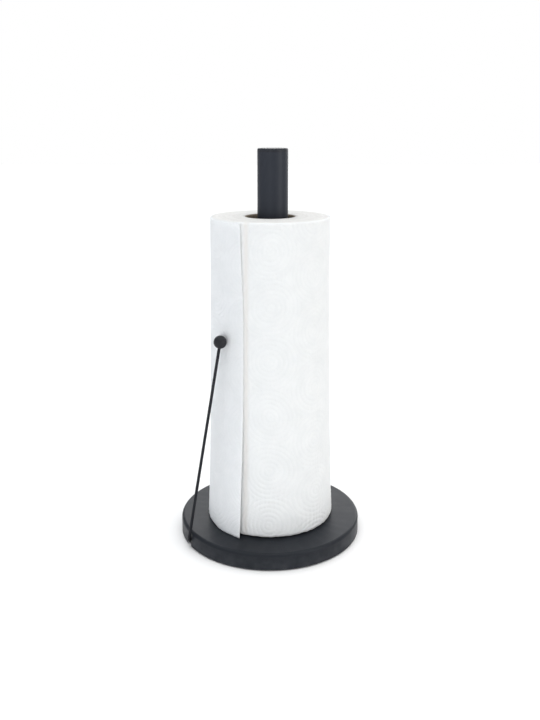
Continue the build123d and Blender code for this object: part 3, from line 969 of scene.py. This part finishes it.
def makeBoard():
    material, tree, shader = newFinish("coreBoard", {"Specular IOR Level": 0.2})
    pulp = groupNode(tree, "boardFibre")
    colour = mixColour(tree, pulp["Fibre"], board["dark"], board["light"])
    colour = mixColour(tree, times(tree, pulp["Fleck"], 0.5), colour, board["fleck"])
    tree.links.new(colour, shader.inputs["Base Color"])
    tree.links.new(rangeNode(tree, pulp["Fibre"], 0.0, 1.0, 0.78, 0.92), shader.inputs["Roughness"])
    tree.links.new(bumpNode(tree, pulp["Height"], 0.4, 0.12 * mm), shader.inputs["Normal"])
    return material


metal = {
    "screwSteel": {
        "dark": (0.36, 0.36, 0.37),
        "light": (0.56, 0.56, 0.57),
        "rough": (0.24, 0.40),
        "stretch": (1.0, 1.0, 0.15),
    },
    "washerZinc": {
        "dark": (0.42, 0.44, 0.46),
        "light": (0.62, 0.63, 0.64),
        "rough": (0.30, 0.48),
        "stretch": (1.0, 1.0, 1.0),
    },
    "bracketZinc": {
        "dark": (0.38, 0.40, 0.43),
        "light": (0.55, 0.57, 0.60),
        "rough": (0.34, 0.52),
        "stretch": (1.0, 0.1, 1.0),
    },
    "springSteel": {
        "dark": (0.24, 0.24, 0.26),
        "light": (0.40, 0.40, 0.42),
        "rough": (0.25, 0.42),
        "stretch": (1.0, 1.0, 1.0),
    },
    "insertSteel": {
        "dark": (0.34, 0.34, 0.36),
        "light": (0.52, 0.52, 0.53),
        "rough": (0.28, 0.44),
        "stretch": (1.0, 1.0, 0.1),
    },
    "collarZinc": {
        "dark": (0.44, 0.45, 0.46),
        "light": (0.62, 0.62, 0.63),
        "rough": (0.28, 0.42),
        "stretch": (1.0, 0.1, 1.0),
    },
    "ballastSteel": {
        "dark": (0.09, 0.085, 0.082),
        "light": (0.19, 0.185, 0.18),
        "rough": (0.48, 0.70),
        "stretch": (1.0, 0.2, 1.0),
    },
}


def makeMetal(name, look):
    material, tree, shader = newFinish(name, {"Metallic": 1.0})
    grain = groupNode(tree, "metalGrain", Stretch=look["stretch"])
    rubbed = groupNode(tree, "rubbedEdge")
    tone = scaleAdd(tree, grain["Cloud"], 0.55, times(tree, grain["Line"], 0.45))
    colour = mixColour(tree, tone, look["dark"], look["light"])
    colour = mixColour(tree, times(tree, rubbed["Mask"], 0.5), colour, look["light"])
    tree.links.new(colour, shader.inputs["Base Color"])
    low, high = look["rough"]
    tree.links.new(rangeNode(tree, tone, 0.0, 1.0, high, low), shader.inputs["Roughness"])
    tree.links.new(bumpNode(tree, grain["Height"], 0.25, 0.05 * mm), shader.inputs["Normal"])
    return material


moulded = {
    "ballPlastic": {
        "dark": (0.014, 0.0145, 0.017),
        "light": (0.024, 0.025, 0.029),
        "rough": (0.40, 0.52),
        "grain": 1400.0,
    },
    "coverPlastic": {
        "dark": (0.018, 0.018, 0.020),
        "light": (0.030, 0.030, 0.033),
        "rough": (0.55, 0.70),
        "grain": 1000.0,
    },
    "padRubber": {
        "dark": (0.020, 0.020, 0.021),
        "light": (0.036, 0.036, 0.038),
        "rough": (0.74, 0.88),
        "grain": 700.0,
    },
    "bushPlastic": {
        "dark": (0.52, 0.50, 0.45),
        "light": (0.64, 0.62, 0.57),
        "rough": (0.45, 0.60),
        "grain": 1200.0,
    },
}


def makeMoulded(name, look):
    material, tree, shader = newFinish(name, {"IOR": 1.25})
    grain = groupNode(tree, "powderGrain", Peel_Scale=look["grain"])
    rubbed = groupNode(tree, "rubbedEdge")
    tone = scaleAdd(tree, grain["Drift"], 0.6, times(tree, grain["Speckle"], 0.4))
    colour = mixColour(tree, tone, look["dark"], look["light"])
    tree.links.new(colour, shader.inputs["Base Color"])
    low, high = look["rough"]
    rough = rangeNode(tree, grain["Drift"], 0.0, 1.0, low, high)
    rough = scaleAdd(tree, rubbed["Mask"], -0.06, rough)
    tree.links.new(rough, shader.inputs["Roughness"])
    tree.links.new(bumpNode(tree, grain["Height"], 0.3, 0.08 * mm), shader.inputs["Normal"])
    return material


finishes = {**coats, **tissues, "rollEndTissue": makeRollEnd(), "coreBoard": makeBoard()}
finishes.update({name: makeMetal(name, look) for name, look in metal.items()})
finishes.update({name: makeMoulded(name, look) for name, look in moulded.items()})


def makeFloorFinish():
    material, tree, shader = newFinish("floorPaper", {"Specular IOR Level": 0.1, "Roughness": 0.9})
    cloud = noiseNode(tree, placeNode(tree), 3.0, 3.0, 0.5)
    tone = studio["floorTone"]
    share = rangeNode(tree, cloud, 0.3, 0.7, 0.0, 1.0)
    colour = mixColour(tree, share, (tone,) * 3, (tone + 0.02,) * 3)
    tree.links.new(colour, shader.inputs["Base Color"])
    return material


floor.data.materials.append(makeFloorFinish())

nodeFinish = {
    "base_shell": "baseCoat",
    "ballast": "ballastSteel",
    "bottom_cover": "coverPlastic",
    "cover_screws": "screwSteel",
    "foot_pads": "padRubber",
    "post_tube": "postCoat",
    "post_cap": "capCoat",
    "post_insert": "insertSteel",
    "post_screw": "screwSteel",
    "post_washer": "washerZinc",
    "lock_washer": "washerZinc",
    "pivot_bracket": "bracketZinc",
    "bracket_screws": "screwSteel",
    "pivot_bushes": "bushPlastic",
    "arm_spring": "springSteel",
    "arm_rod": "wireCoat",
    "arm_ball": "ballPlastic",
    "arm_collar": "collarZinc",
    "axle_clip": "springSteel",
}
for nodeName, finishName in nodeFinish.items():
    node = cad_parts[nodeName]
    if not node.material_slots:
        node.data.materials.append(None)
    for slot in node.material_slots:
        slot.material = finishes[finishName]

paperRoll.data.materials.append(finishes["rollTissue"])
paperRoll.data.materials.append(finishes["rollEndTissue"])
looseSheet.data.materials.append(finishes["sheetTissue"])
cardboardCore.data.materials.append(finishes["coreBoard"])
sideFaces = (roll["up"] - 1) * roll["around"]
slots = np.ones(len(paperRoll.data.polygons), dtype=np.int32)
slots[:sideFaces] = 0
paperRoll.data.polygons.foreach_set("material_index", slots)
print("finishes:", len(finishes))
